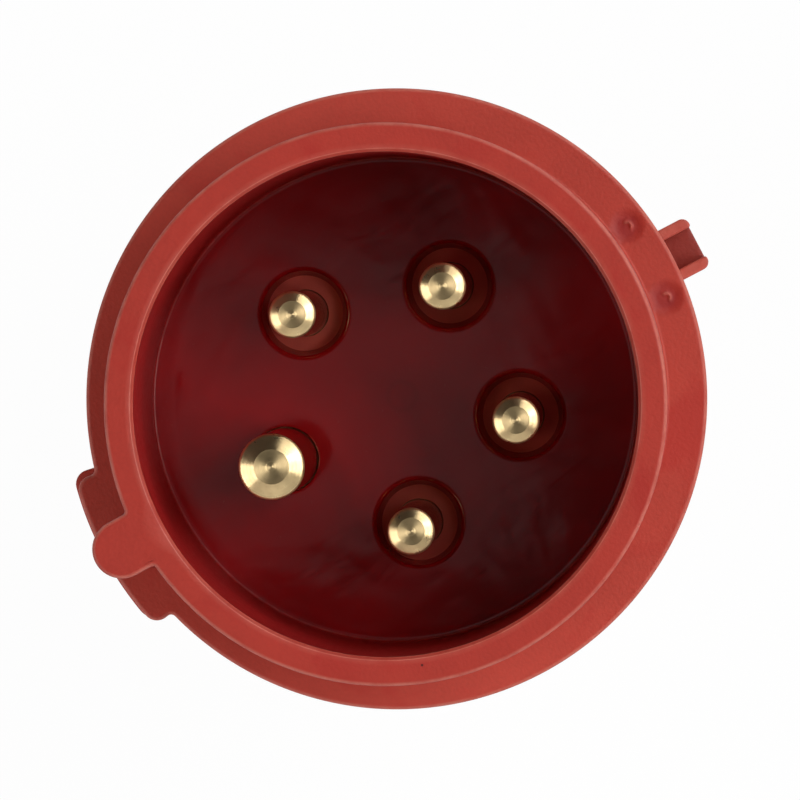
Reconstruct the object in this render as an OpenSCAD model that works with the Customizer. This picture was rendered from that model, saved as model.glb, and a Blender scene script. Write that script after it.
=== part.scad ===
// Five-pole industrial pin and sleeve plug, 16 A size, standing on its gland nut.
// The plug's axis is Z and its mouth looks up. The earth pin and the key rib are
// on the -Y side (6 o'clock), the catch for a connector's lid is on the +Y side.
// All lengths are in millimetres and all angles in degrees.

/* [Shroud] */
// Inner radius of the round shroud
shroud_bore_r = 26.6; // [26.3:0.1:26.9]
// Thickness of the shroud's wall
shroud_wall = 3.05; // [2.8:0.05:3.3]
// Length of the shroud from the flange's front face to the mouth
shroud_len = 45; // [43:0.5:50]
// Depth of the floor below the mouth
shroud_depth = 42; // [40:0.5:43]
// Thickness of the floor
floor_t = 3; // [2.5:0.1:4]
// Fillet between the floor and the wall
floor_fillet_r = 1.2; // [0.8:0.1:2.5]
// Rounding of the moulded outer edges
edge_r = 0.35; // [0.2:0.05:0.5]

/* [Flange] */
// How far the flange stands out from the shroud
flange_rise = 4.45; // [4.3:0.05:5]
// Thickness of the flange
flange_t = 4; // [3.8:0.1:5]
// Radius of each shallow dent in the flange's face
dent_r = 1.8; // [1:0.1:1.9]
// Depth of the dents
dent_depth = 0.3; // [0.1:0.05:0.6]
// Distance of the dents' middles from the flange's edge
dent_inset = 2.5; // [2.2:0.1:2.6]
// Angle of each dent from 12 o'clock
dent_angle = 8.1; // [6:0.1:15]

/* [Key rib and locking block] */
// Width of the key rib
key_w = 6.2; // [6:0.1:7]
// How far the key rib's round end stands out from the shroud
key_rise = 5.15; // [4.5:0.05:5.6]
// How far the locking block stands out from the flange
block_rise = 2.3; // [2:0.1:3.5]
// How much further the rear half of the block stands out
rear_block_extra = 0.35; // [0.05:0.05:0.6]
// Half of the locking block's angle
block_half_angle = 14.7; // [12:0.1:18]
// Rounding of the locking block's corners
block_corner_r = 1.6; // [0.5:0.1:1.8]
// Length of the locking block behind the flange
block_len = 18; // [14:0.5:22]
// Turn of the rear block and the catch against the locking screw
rear_skew = -1.1; // [-1.5:0.1:1.5]

/* [Contacts] */
// Radius of the circle of contacts
pitch_r = 13.75; // [13.5:0.05:14]
// Radius of a phase or neutral pin
pin_r = 2.5; // [2.3:0.05:2.7]
// Radius of the earth pin
earth_r = 3.5; // [3.3:0.05:3.7]
// Height of a phase or neutral pin above the floor
pin_len = 36.5; // [34:0.5:38]
// Height of the earth pin above the floor
earth_len = 40.5; // [38:0.5:41.5]
// Radius of the flat end of a phase or neutral pin
pin_flat_r = 1.45; // [0.8:0.05:1.8]
// Radius of the flat end of the earth pin
earth_flat_r = 1.85; // [1:0.05:2.6]
// Slope of the crown round a pin's flat end, in degrees
crown_slope = 28; // [15:1:45]
// Rounding between a pin's crown and its side
crown_edge_r = 0.5; // [0.2:0.05:0.6]
// Clearance around a pin where it passes the floor
pin_gap = 0.1; // [0.05:0.01:0.2]
// Thinning of a pin's root inside the floor
root_step = 0.4; // [0.2:0.05:0.5]
// How far a phase or neutral terminal barrel stands out from its pin
barrel_step = 2; // [1.7:0.1:2.3]
// How far the earth terminal barrel stands out from its pin
earth_barrel_step = 1.5; // [1.3:0.1:1.7]
// Length of the terminal barrels
barrel_len = 20; // [18:0.5:22]
// Radius of the hole for a wire
wire_r = 1.7; // [1.5:0.1:2]
// Depth of the hole for a wire
wire_depth = 14; // [13:0.5:16]
// Bevel on the barrels
barrel_bevel = 0.3; // [0.1:0.1:0.5]

/* [Recesses around the phase and neutral pins] */
// Width of a recess around its pin at the floor
recess_w = 2.5; // [2.1:0.1:2.9]
// How much narrower a recess is at its bottom
recess_taper = 0.85; // [0.4:0.05:1.2]

/* [Terminal block] */
// Plastic left between a recess and the terminal barrel
seat_t = 4; // [3:0.1:5]
// Plastic left outside the earth terminal's pocket
block_wall = 4.15; // [3.5:0.05:4.5]
// Radius of the boss behind the floor that carries the block
boss_r = 4.5; // [4:0.1:5.5]
// Length of that boss
boss_len = 8; // [7:0.5:10]
// Clearance around the boss and at its end
boss_gap = 0.1; // [0.05:0.01:0.2]
// Clearance around a terminal barrel
pocket_gap = 0.1; // [0.05:0.01:0.2]
// Height of the terminal screws above the block's end
terminal_height = 8; // [6:0.5:9]
// Clearance around a terminal screw's head
window_gap = 0.3; // [0.1:0.1:0.5]

/* [Terminal screws] */
// Radius of a terminal screw's shank
term_screw_r = 1.95; // [1.75:0.05:2]
// Radius of a terminal screw's head
term_head_r = 3; // [2.8:0.1:3.2]
// Height of a terminal screw's head
term_head_h = 2.4; // [2:0.1:2.8]
// How far a terminal screw reaches into the wire's hole
term_bite = 0.7; // [0.2:0.1:1.2]
// Clearance in every tapped hole
tap_gap = 0.05; // [0.02:0.01:0.1]
// Width of the slot in every screw's head
slot_w = 0.8; // [0.6:0.1:1]
// Depth of the slot in every screw's head
slot_depth = 1; // [0.6:0.1:1.3]

/* [Contact retainer] */
// How far the retainer disc lies inside the block's edge
retainer_inset = 1; // [0.5:0.1:2]
// Thickness of the retainer disc
retainer_t = 3; // [2:0.1:4]
// Radius of the wire passages in the retainer
passage_r = 2.8; // [2.2:0.1:3.4]
// Radius of the retainer screw's shank
ret_screw_r = 1.95; // [1.5:0.05:2.2]
// Length of the retainer screw's shank
ret_screw_len = 24; // [23:0.5:25]
// Radius of the retainer screw's head
ret_head_r = 3.5; // [3:0.1:4]
// Height of the retainer screw's head
ret_head_h = 2.6; // [2:0.1:3]

/* [Spigot and seal] */
// Wall of the spigot
spigot_wall = 3; // [2.6:0.1:3.1]
// Length of the spigot behind the flange
spigot_len = 8; // [8:0.5:10]
// Clearance between the spigot and the housing
spigot_gap = 0.2; // [0.1:0.05:0.3]
// Radius of the sealing ring's section
seal_r = 1; // [0.8:0.05:1.1]
// Side clearance of the sealing ring in its groove
groove_gap = 0.1; // [0.05:0.05:0.2]
// Plastic left between the groove and the spigot's end
groove_edge = 1.1; // [0.8:0.1:1.4]
// Radial height of the two snap lugs on the spigot
lug_h = 1.2; // [0.8:0.1:1.4]
// Thickness of the snap lugs
lug_t = 2.2; // [1.5:0.1:2.4]
// Half of a snap lug's angle
lug_half_angle = 3.8; // [2:0.1:5]
// Distance of the snap lugs behind the flange
lug_drop = 1.5; // [1.2:0.1:1.8]
// Clearance around the snap lugs
lug_gap = 0.2; // [0.1:0.05:0.3]

/* [Rear housing] */
// How far the collar lies inside the flange's edge
collar_inset = 0.7; // [0.2:0.1:1]
// Wall of the collar
collar_wall = 3.2; // [3:0.1:3.4]
// Length of the collar
collar_len = 14; // [12:0.5:18]
// Length of the taper behind the collar
taper_len = 42; // [38:0.5:46]
// How far the shoulder at the taper's end stands out from the neck
shoulder_step = 4; // [3.5:0.1:6]
// Wall of the taper
housing_wall = 3; // [2.6:0.1:3.4]
// Wall of the threaded neck
neck_wall = 4; // [3.5:0.1:4.4]
// Length of the threaded neck
neck_len = 16; // [15:0.5:20]
// Bore of the neck, which holds the gland seal
neck_bore_r = 13; // [12.5:0.1:13.5]
// Thickness of the ring that the gland seal rests against
stop_t = 4; // [3:0.1:5]
// Height of that ring above the shoulder
stop_rise = 2; // [1:0.1:3]
// Radius of the cable's passage through that ring
stop_hole_r = 9; // [8.5:0.1:10]

/* [Catch] */
// Width of the catch
catch_w = 6.1; // [5.6:0.1:8]
// How far the catch stands out from the collar
catch_rise = 4; // [3:0.1:5.5]
// Thickness of each rib of the catch
catch_rib_t = 1.25; // [1:0.05:1.6]
// Length of the catch behind the flange
catch_len = 16; // [12:0.5:18]
// Rounding of the catch's outer corners
catch_corner_r = 0.9; // [0.3:0.1:1]
// Depth of the web below the front ends of the ribs
web_drop = 3.5; // [1:0.1:6]
// Thickness of the web between the ribs
web_t = 2.5; // [1.5:0.1:4]

/* [Locking screw] */
// Radius of the locking screw's shank
lock_screw_r = 1.5; // [1.3:0.05:1.6]
// Distance of the locking screw's middle from the block's face
lock_inset = 3; // [2.8:0.1:3.2]
// Clearance around the locking screw
lock_gap = 0.2; // [0.1:0.05:0.25]
// Radius of the locking screw's head
lock_head_r = 2.7; // [2.4:0.1:2.9]
// Height of the locking screw's head
lock_head_h = 2.2; // [1.8:0.1:2.6]
// Radius of the threaded insert
insert_r = 2.2; // [2:0.05:2.3]
// Length of the threaded insert
insert_len = 3.4; // [2.5:0.1:3.5]
// Clearance around the threaded insert
insert_gap = 0.02; // [0.01:0.01:0.05]
// How far the locking screw stops short of the insert's end
lock_short = 0.6; // [0.3:0.1:1]

/* [Cable gland] */
// Wall of the gland nut
nut_wall = 2.9; // [2.6:0.1:3.9]
// Gap between the tightened nut and the shoulder
shoulder_gap = 2; // [1:0.1:3]
// Thickness of the nut's end wall
nut_end_t = 4; // [3:0.1:5]
// Radial running clearance of the nut on the neck
nut_gap = 0.08; // [0.02:0.01:0.1]
// Radius of the cable entry in the nut's end wall
entry_r = 10; // [9:0.1:10.5]
// Bevel at the ends of the nut
nut_bevel = 1; // [0.5:0.1:1.2]
// Number of grip flutes around the nut
flute_count = 20; // [12:1:24]
// Radius of a grip flute
flute_r = 1.8; // [1.2:0.1:2.2]
// Depth of the grip flutes
flute_depth = 0.8; // [0.4:0.1:1]
// Plain band left at each end of the flutes
flute_margin = 3; // [2:0.5:5]
// Thickness of the thrust washer
washer_t = 1.5; // [1:0.1:2]
// How much wider the washer's bore is than the cable entry
washer_gap = 0.4; // [0:0.1:1]
// Radial clearance of the washer and the clamping ring inside the nut
ring_gap = 0.4; // [0.3:0.05:0.6]
// Thickness of the clamping ring behind the neck
clamp_t = 6.5; // [6:0.1:8]
// Length of the clamping ring's nose inside the neck
nose_len = 3; // [2:0.1:4]
// Radial clearance of the clamping ring's nose and of the seal in the neck
neck_gap = 0.1; // [0.05:0.05:0.2]
// Bore radius of the clamping ring
clamp_bore_r = 8; // [7.5:0.1:9]
// Number of slits in the clamping ring
slit_count = 6; // [4:1:8]
// Width of the slits
slit_w = 1.4; // [1:0.1:2]
// Bore radius of the rubber cable seal
cable_r = 7.5; // [5:0.1:8]

/* [Hidden] */
$fn = 96;

// Cutters overshoot the faces they open by this much
over = 0.5;
// Segments in a rounded edge and in a wide arc
edge_steps = 5;
arc_steps = 12;

// Angles of the contacts around the axis, each a fifth of a turn apart
pole_step = 360 / 5;
earth_a = -90;
neutral_a = earth_a + pole_step;
l1_a = neutral_a + pole_step;
l2_a = l1_a + pole_step;
l3_a = l2_a + pole_step;
phase_angles = [neutral_a, l1_a, l2_a, l3_a];
key_a = -90;
catch_a = 90;

// Heights along the axis, stacked from the nut's end face upwards
washer_z = nut_end_t;
clamp_z = washer_z + washer_t;
neck_z = clamp_z + clamp_t;
shoulder_z = neck_z + neck_len;
nut_len = shoulder_z - shoulder_gap;
collar_z = shoulder_z + taper_len;
flange_z = collar_z + collar_len;
flange_top_z = flange_z + flange_t;
mouth_z = flange_top_z + shroud_len;
floor_z = mouth_z - shroud_depth;
recess_z = floor_z - floor_t;
boss_z = recess_z - boss_len;
seat_z = recess_z - seat_t;
terminal_end_z = seat_z - barrel_len;
terminal_z = terminal_end_z + terminal_height;
retainer_z = terminal_end_z - retainer_t;
spigot_z = flange_z - spigot_len;
seal_z = spigot_z + groove_edge + groove_gap + seal_r;
lug_z = flange_z - lug_drop - lug_t;
block_z = flange_z - block_len;
stop_z = shoulder_z + stop_rise - stop_t;

// Radii that follow from others
shroud_r = shroud_bore_r + shroud_wall;
flange_r = shroud_r + flange_rise;
dent_pos_r = flange_r - dent_inset;
key_end_r = shroud_r + key_rise - key_w / 2;
block_r = flange_r + block_rise;
lock_pos_r = block_r - lock_inset;
collar_r = flange_r - collar_inset;
catch_reach = collar_r + catch_rise;
housing_bore_r = collar_r - collar_wall;
spigot_r = housing_bore_r - spigot_gap;
spigot_bore_r = spigot_r - spigot_wall;
seal_ring_r = housing_bore_r - seal_r;
barrel_r = pin_r + barrel_step;
earth_barrel_r = earth_r + earth_barrel_step;
recess_r = pin_r + recess_w;
recess_bottom_r = recess_r - recess_taper;
terminal_block_r = pitch_r + earth_barrel_r + pocket_gap + block_wall;
retainer_r = terminal_block_r - retainer_inset;
window_r = term_head_r + window_gap;
neck_r = neck_bore_r + neck_wall;
shoulder_r = neck_r + shoulder_step;
nut_bore_r = neck_r + nut_gap;
nut_r = nut_bore_r + nut_wall;
washer_bore_r = entry_r + washer_gap;
ring_r = nut_bore_r - ring_gap;
nose_r = neck_bore_r - neck_gap;
bolt_hole_r = ret_screw_r + tap_gap;

// Points along an arc about [x, y], from angle a to angle b
function arc(x, y, r, a, b, steps = edge_steps) =
    [for (i = [0 : steps]) let (t = a + (b - a) * i / steps) [x + r * cos(t), y + r * sin(t)]];

// Ring sector centred on angle mid, with its two outer corners rounded by c
function sector(r_in, r_out, mid, half, c) =
    let (d = asin(c / (r_out - c)), low = mid - half + d, high = mid + half - d, r = r_out - c)
    concat(
        arc(0, 0, r_in, mid - half, mid + half, arc_steps),
        arc(r * cos(high), r * sin(high), c, high + 90, high),
        arc(0, 0, r_out, high, low, arc_steps),
        arc(r * cos(low), r * sin(low), c, low, low - 90));

module at_pole(a) {
    rotate([0, 0, a]) translate([pitch_r, 0, 0]) children();
}

module tube(r, bore, z, h) {
    translate([0, 0, z]) difference() {
        cylinder(h = h, r = r);
        translate([0, 0, -over]) cylinder(h = h + 2 * over, r = bore);
    }
}

module hole(r, z, h) {
    translate([0, 0, z]) cylinder(h = h, r = r);
}

// Slotted screw with its shank along +Z and its head below z = 0
module slotted_screw(r, len, head_r, head_h) {
    difference() {
        union() {
            cylinder(h = len, r = r);
            translate([0, 0, -head_h]) cylinder(h = head_h, r = head_r);
        }
        translate([-slot_w / 2, -head_r - over, -head_h - over])
            cube([slot_w, 2 * (head_r + over), slot_depth + over]);
    }
}

// Shroud, floor with its boss, flange and spigot, turned about the axis
module carrier_body() {
    rotate_extrude() polygon(concat(
        [[0, boss_z], [boss_r, boss_z], [boss_r, recess_z],
            [spigot_bore_r, recess_z], [spigot_bore_r, spigot_z],
            [spigot_r, spigot_z],
            [spigot_r, seal_z - seal_r - groove_gap],
            [seal_ring_r - seal_r, seal_z - seal_r - groove_gap],
            [seal_ring_r - seal_r, seal_z + seal_r + groove_gap],
            [spigot_r, seal_z + seal_r + groove_gap],
            [spigot_r, flange_z], [flange_r, flange_z]],
        arc(flange_r - edge_r, flange_top_z - edge_r, edge_r, 0, 90),
        [[shroud_r, flange_top_z]],
        arc(shroud_r - edge_r, mouth_z - edge_r, edge_r, 0, 90),
        [[shroud_bore_r + edge_r, mouth_z], [shroud_bore_r, mouth_z - edge_r]],
        arc(shroud_bore_r - floor_fillet_r, floor_z + floor_fillet_r, floor_fillet_r, 0, -90),
        [[0, floor_z]]));
}

module key_rib() {
    translate([0, 0, flange_z]) linear_extrude(height = mouth_z - flange_z) {
        translate([0, -key_end_r]) circle(r = key_w / 2);
        translate([-key_w / 2, -key_end_r])
            square([key_w, key_end_r - shroud_bore_r - shroud_wall / 2]);
    }
}

module front_block() {
    translate([0, 0, flange_z]) linear_extrude(height = flange_t)
        polygon(sector(shroud_bore_r + shroud_wall / 2, block_r, key_a, block_half_angle,
            block_corner_r));
}

// Lugs on the spigot; grow widens them into the pockets that they snap into
module snap_lugs(grow) {
    for (side = [-1, 1])
        translate([0, 0, lug_z - grow]) linear_extrude(height = lug_t + 2 * grow)
            polygon(sector(spigot_bore_r + spigot_wall / 2, spigot_r + lug_h + grow,
                catch_a + side * dent_angle, lug_half_angle + 2 * grow, edge_r));
}

// Pocket for a terminal barrel, its screw window and the pin's passage
module terminal_space(r_pin, r_barrel) {
    hole(r_pin + pin_gap, seat_z - over, seat_t + 2 * over);
    hole(r_barrel + pocket_gap, terminal_end_z - over, barrel_len + over);
    translate([0, 0, terminal_z]) rotate([0, 90, 0])
        cylinder(h = terminal_block_r, r = window_r);
}

module contact_carrier() {
    color([0.68, 0.2, 0.18]) difference() {
        union() {
            carrier_body();
            key_rib();
            front_block();
            snap_lugs(0);
        }
        for (a = phase_angles) at_pole(a) {
            translate([0, 0, recess_z])
                cylinder(h = floor_t, r1 = recess_bottom_r, r2 = recess_r);
            hole(recess_bottom_r, recess_z - over, over);
            hole(recess_r, floor_z, over);
        }
        at_pole(earth_a) hole(earth_r + pin_gap, recess_z - over, floor_t + 2 * over);
        hole(bolt_hole_r, boss_z - over, retainer_z + ret_screw_len + 2 * over - boss_z);
        rotate([0, 0, key_a]) translate([lock_pos_r, 0, 0])
            hole(insert_r + insert_gap, flange_z - over, insert_len + over);
        for (side = [-1, 1]) rotate([0, 0, catch_a + side * dent_angle])
            translate([dent_pos_r, 0, 0]) hole(dent_r, flange_top_z - dent_depth, over + dent_depth);
    }
}

// Block behind the floor that holds the terminals, screwed to the floor's boss
module terminal_block() {
    color([0.6, 0.2, 0.18]) difference() {
        hole(terminal_block_r, terminal_end_z, recess_z - terminal_end_z);
        for (a = phase_angles) at_pole(a) terminal_space(pin_r, barrel_r);
        at_pole(earth_a) terminal_space(earth_r, earth_barrel_r);
        hole(boss_r + boss_gap, boss_z - boss_gap, boss_len + boss_gap + over);
        hole(bolt_hole_r, terminal_end_z - over, boss_z - terminal_end_z + 2 * over);
    }
}

// Turned brass contact: barrel, thinner root, pin and rounded tip, along the axis
module contact(r_pin, r_barrel, r_flat, base_z, tip_z) {
    edge_x = r_pin - crown_edge_r;
    cone_run = edge_x + crown_edge_r * sin(crown_slope) - r_flat;
    edge_z = tip_z - cone_run * tan(crown_slope) - crown_edge_r * cos(crown_slope);
    difference() {
        rotate_extrude() polygon(concat(
            [[0, terminal_end_z], [r_barrel - barrel_bevel, terminal_end_z],
                [r_barrel, terminal_end_z + barrel_bevel], [r_barrel, seat_z - barrel_bevel],
                [r_barrel - barrel_bevel, seat_z], [r_pin - root_step, seat_z],
                [r_pin - root_step, base_z], [r_pin, base_z]],
            arc(edge_x, edge_z, crown_edge_r, 0, 90 - crown_slope, 2 * edge_steps),
            [[r_flat, tip_z], [0, tip_z]]));
        hole(wire_r, terminal_end_z - over, wire_depth + over);
        translate([0, 0, terminal_z]) rotate([0, 90, 0])
            cylinder(h = r_barrel + over, r = term_screw_r + tap_gap);
    }
}

module phase_pin(a) {
    color([0.8, 0.66, 0.38]) at_pole(a)
        contact(pin_r, barrel_r, pin_flat_r, recess_z, floor_z + pin_len);
}

module pin_earth() {
    color([0.8, 0.66, 0.38]) at_pole(earth_a)
        contact(earth_r, earth_barrel_r, earth_flat_r, floor_z, floor_z + earth_len);
}

// Radial clamping screw of the terminal at angle a
module terminal_screw(a, r_barrel) {
    color([0.72, 0.72, 0.7]) at_pole(a) translate([r_barrel, 0, terminal_z])
        rotate([0, -90, 0])
            slotted_screw(term_screw_r, r_barrel - wire_r + term_bite, term_head_r, term_head_h);
}

// Disc that keeps the terminals in the block
module contact_retainer() {
    color([0.85, 0.84, 0.8]) difference() {
        hole(retainer_r, retainer_z, retainer_t);
        for (a = concat([earth_a], phase_angles)) at_pole(a)
            hole(passage_r, retainer_z - over, retainer_t + 2 * over);
        hole(bolt_hole_r, retainer_z - over, retainer_t + 2 * over);
    }
}

module retainer_screw() {
    color([0.72, 0.72, 0.7]) translate([0, 0, retainer_z])
        slotted_screw(ret_screw_r, ret_screw_len, ret_head_r, ret_head_h);
}

module housing_seal() {
    color([0.1, 0.1, 0.1]) rotate_extrude() translate([seal_ring_r, seal_z]) circle(r = seal_r);
}

module locking_insert() {
    color([0.8, 0.66, 0.38]) rotate([0, 0, key_a]) translate([lock_pos_r, 0, 0])
        tube(insert_r, lock_screw_r + tap_gap, flange_z, insert_len);
}

// Collar, taper, shoulder and threaded neck, turned about the axis
module housing_body() {
    inner_low_r = shoulder_r - housing_wall;
    rotate_extrude() polygon(concat(
        [[neck_bore_r, neck_z], [neck_r - edge_r, neck_z], [neck_r, neck_z + edge_r],
            [neck_r, shoulder_z]],
        arc(shoulder_r - edge_r, shoulder_z + edge_r, edge_r, -90, 0),
        [[collar_r, collar_z], [collar_r, flange_z], [housing_bore_r, flange_z],
            [housing_bore_r, collar_z], [inner_low_r, shoulder_z + stop_rise],
            [stop_hole_r, shoulder_z + stop_rise], [stop_hole_r, stop_z],
            [neck_bore_r, stop_z]]));
}

module rear_block() {
    translate([0, 0, block_z]) linear_extrude(height = block_len)
        polygon(sector((housing_bore_r + collar_r) / 2, block_r + rear_block_extra,
            key_a + rear_skew, block_half_angle, block_corner_r));
}

// Two ribs joined by a web, open towards the front and outwards
module lid_catch() {
    channel_w = catch_w - 2 * catch_rib_t;
    root_y = (housing_bore_r + collar_r) / 2;
    corner_x = catch_w / 2 - catch_corner_r;
    corner_y = catch_reach - catch_corner_r;
    rotate([0, 0, rear_skew]) difference() {
        translate([0, 0, flange_z - catch_len]) linear_extrude(height = catch_len)
            polygon(concat(
                [[-catch_w / 2, root_y], [catch_w / 2, root_y]],
                arc(corner_x, corner_y, catch_corner_r, 0, 90),
                arc(-corner_x, corner_y, catch_corner_r, 90, 180)));
        translate([-channel_w / 2, collar_r, flange_z - web_drop])
            cube([channel_w, catch_reach, web_drop + over]);
        translate([-channel_w / 2, collar_r, flange_z - catch_len - over])
            cube([channel_w, catch_reach, catch_len + over - web_drop - web_t]);
    }
}

module rear_housing() {
    color([0.5, 0.14, 0.13]) difference() {
        union() {
            housing_body();
            rear_block();
            lid_catch();
        }
        snap_lugs(lug_gap);
        rotate([0, 0, key_a]) translate([lock_pos_r, 0, 0]) {
            hole(lock_screw_r + lock_gap, block_z - over, block_len + 2 * over);
            hole(lock_head_r + lock_gap, shoulder_z, block_z - shoulder_z);
        }
    }
}

module locking_screw() {
    color([0.72, 0.72, 0.7]) rotate([0, 0, key_a]) translate([lock_pos_r, 0, block_z])
        slotted_screw(lock_screw_r, block_len + insert_len - lock_short, lock_head_r, lock_head_h);
}

// Ring with a slit nose, pushed against the seal by the nut
module gland_clamp() {
    color([0.25, 0.25, 0.26]) difference() {
        union() {
            hole(ring_r, clamp_z, clamp_t);
            hole(nose_r, neck_z, nose_len);
        }
        hole(clamp_bore_r, clamp_z - over, clamp_t + nose_len + 2 * over);
        for (i = [0 : slit_count - 1]) rotate([0, 0, i * 360 / slit_count])
            translate([0, -slit_w / 2, clamp_z + clamp_t / 2])
                cube([ring_r + over, slit_w, clamp_t + nose_len]);
    }
}

module gland_seal() {
    color([0.12, 0.12, 0.12])
        tube(nose_r, cable_r, neck_z + nose_len, stop_z - neck_z - nose_len);
}

module gland_washer() {
    color([0.8, 0.8, 0.78]) tube(ring_r, washer_bore_r, washer_z, washer_t);
}

module gland_nut() {
    color([0.5, 0.14, 0.13]) difference() {
        rotate_extrude() polygon([
            [entry_r, 0], [nut_r - nut_bevel, 0], [nut_r, nut_bevel],
            [nut_r, nut_len - nut_bevel], [nut_r - nut_bevel, nut_len],
            [nut_bore_r, nut_len], [nut_bore_r, nut_end_t], [entry_r, nut_end_t]]);
        for (i = [0 : flute_count - 1]) rotate([0, 0, i * 360 / flute_count])
            translate([nut_r + flute_r - flute_depth, 0, 0])
                hole(flute_r, flute_margin, nut_len - 2 * flute_margin);
    }
}

contact_carrier();
terminal_block();
phase_pin(l1_a);  // pin_l1
phase_pin(l2_a);  // pin_l2
phase_pin(l3_a);  // pin_l3
phase_pin(neutral_a);  // pin_neutral
pin_earth();
terminal_screw(l1_a, barrel_r);  // terminal_screw_l1
terminal_screw(l2_a, barrel_r);  // terminal_screw_l2
terminal_screw(l3_a, barrel_r);  // terminal_screw_l3
terminal_screw(neutral_a, barrel_r);  // terminal_screw_neutral
terminal_screw(earth_a, earth_barrel_r);  // terminal_screw_earth
contact_retainer();
retainer_screw();
housing_seal();
locking_insert();
rear_housing();
locking_screw();
gland_clamp();
gland_seal();
gland_washer();
gland_nut();
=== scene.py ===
import math

import bmesh
import bpy
import numpy as np
from bpy.props import FloatProperty, FloatVectorProperty, IntProperty, PointerProperty
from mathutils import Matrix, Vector
from mathutils.geometry import delaunay_2d_cdt


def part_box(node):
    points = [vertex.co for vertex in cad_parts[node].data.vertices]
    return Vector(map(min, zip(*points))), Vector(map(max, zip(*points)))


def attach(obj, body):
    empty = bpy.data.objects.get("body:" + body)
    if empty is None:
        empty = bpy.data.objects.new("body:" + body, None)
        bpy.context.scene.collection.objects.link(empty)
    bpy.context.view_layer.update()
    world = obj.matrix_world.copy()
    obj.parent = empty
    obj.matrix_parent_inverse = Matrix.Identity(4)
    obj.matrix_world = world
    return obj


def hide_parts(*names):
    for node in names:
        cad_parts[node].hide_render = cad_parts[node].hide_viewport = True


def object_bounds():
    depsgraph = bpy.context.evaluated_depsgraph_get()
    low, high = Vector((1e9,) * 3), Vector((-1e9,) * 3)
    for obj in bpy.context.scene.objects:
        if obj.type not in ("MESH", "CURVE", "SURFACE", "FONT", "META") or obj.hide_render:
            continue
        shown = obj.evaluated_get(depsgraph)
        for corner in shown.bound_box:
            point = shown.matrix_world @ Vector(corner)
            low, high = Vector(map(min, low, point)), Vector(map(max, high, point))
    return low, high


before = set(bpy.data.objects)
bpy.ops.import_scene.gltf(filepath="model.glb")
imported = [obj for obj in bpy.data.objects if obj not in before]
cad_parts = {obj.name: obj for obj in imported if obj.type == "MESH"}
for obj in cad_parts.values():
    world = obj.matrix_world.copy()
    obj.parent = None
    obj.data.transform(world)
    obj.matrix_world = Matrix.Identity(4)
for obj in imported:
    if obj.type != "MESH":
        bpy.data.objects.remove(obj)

bl_info = {
    "name": "Industrial Pin and Sleeve Plug",
    "version": (1, 0, 0),
    "blender": (4, 5, 0),
    "location": "View3D > Sidebar > Plug",
    "description": "Moulded shell, turned contacts and screwed cable gland of a five-pole plug",
    "category": "Add Mesh",
}

POLES = ("l1", "l2", "l3", "neutral", "earth")

# Corners of the CAD's solids, and the heights and radii that the shells share with them
LOWEST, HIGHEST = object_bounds()
CARRIER = [np.array(corner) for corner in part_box("contact_carrier")]
HOUSING = [np.array(corner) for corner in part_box("rear_housing")]
NUT = [np.array(corner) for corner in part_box("gland_nut")]
NECK_END = HOUSING[0][2]
MOUTH = CARRIER[1][2]
FLANGE_RADIUS = CARRIER[1][0]
BLOCK_RADIUS = -CARRIER[0][1]

# Smallest distance kept between rings where an edge turns sharply, so that the shading stays crisp
HOLD = 0.0001
# Points nearer than this become one, which closes the seams between patches
WELD = 2e-7
# How far each ring of a rounded edge is painted pale, for rubbed wear and painted highlight, from the flat
# round to the side
EDGE_WEAR_AND_SHEEN = (0.0, 0.35, 0.75, 0.75, 0.4, 0.1)
# Stretch before 12 o'clock whose stations are fine enough for the dents
FINE_STRETCH = math.radians(18)
# Speck of dirt on the shroud's rim: across the key, outwards, and its radius
SPECK = (0.0259, -0.0098, 0.00018)

# Soft lights: azimuth from +X and lean from the axis in degrees, distance from the mouth, width, height
LIGHTS = {
    "main": (70.0, 40.0, 0.85, 0.60, 0.50),
    "side": (104.0, 60.0, 0.85, 0.80, 0.40),
    "fill": (-18.0, 60.0, 0.85, 2.10, 0.36),
    "left": (-100.0, 50.0, 0.85, 0.55, 0.40),
    "card": (-99.2, 2.2, 1.60, 0.11, 0.085),
}


# ---------------------------------------------------------------- sizes and colours

def length(name, default, description):
    return FloatProperty(name=name, default=default, min=0.0, unit="LENGTH", precision=5,
                         description=description)


def angle(name, degrees, description):
    return FloatProperty(name=name, default=math.radians(degrees), subtype="ANGLE",
                         description=description)


def colour(name, default, description):
    return FloatVectorProperty(name=name, default=default, size=3, min=0.0, max=1.0,
                               subtype="COLOR", description=description)


def power(name, default, description):
    return FloatProperty(name=name, default=default, min=0.0, subtype="POWER",
                         description=description)


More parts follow.
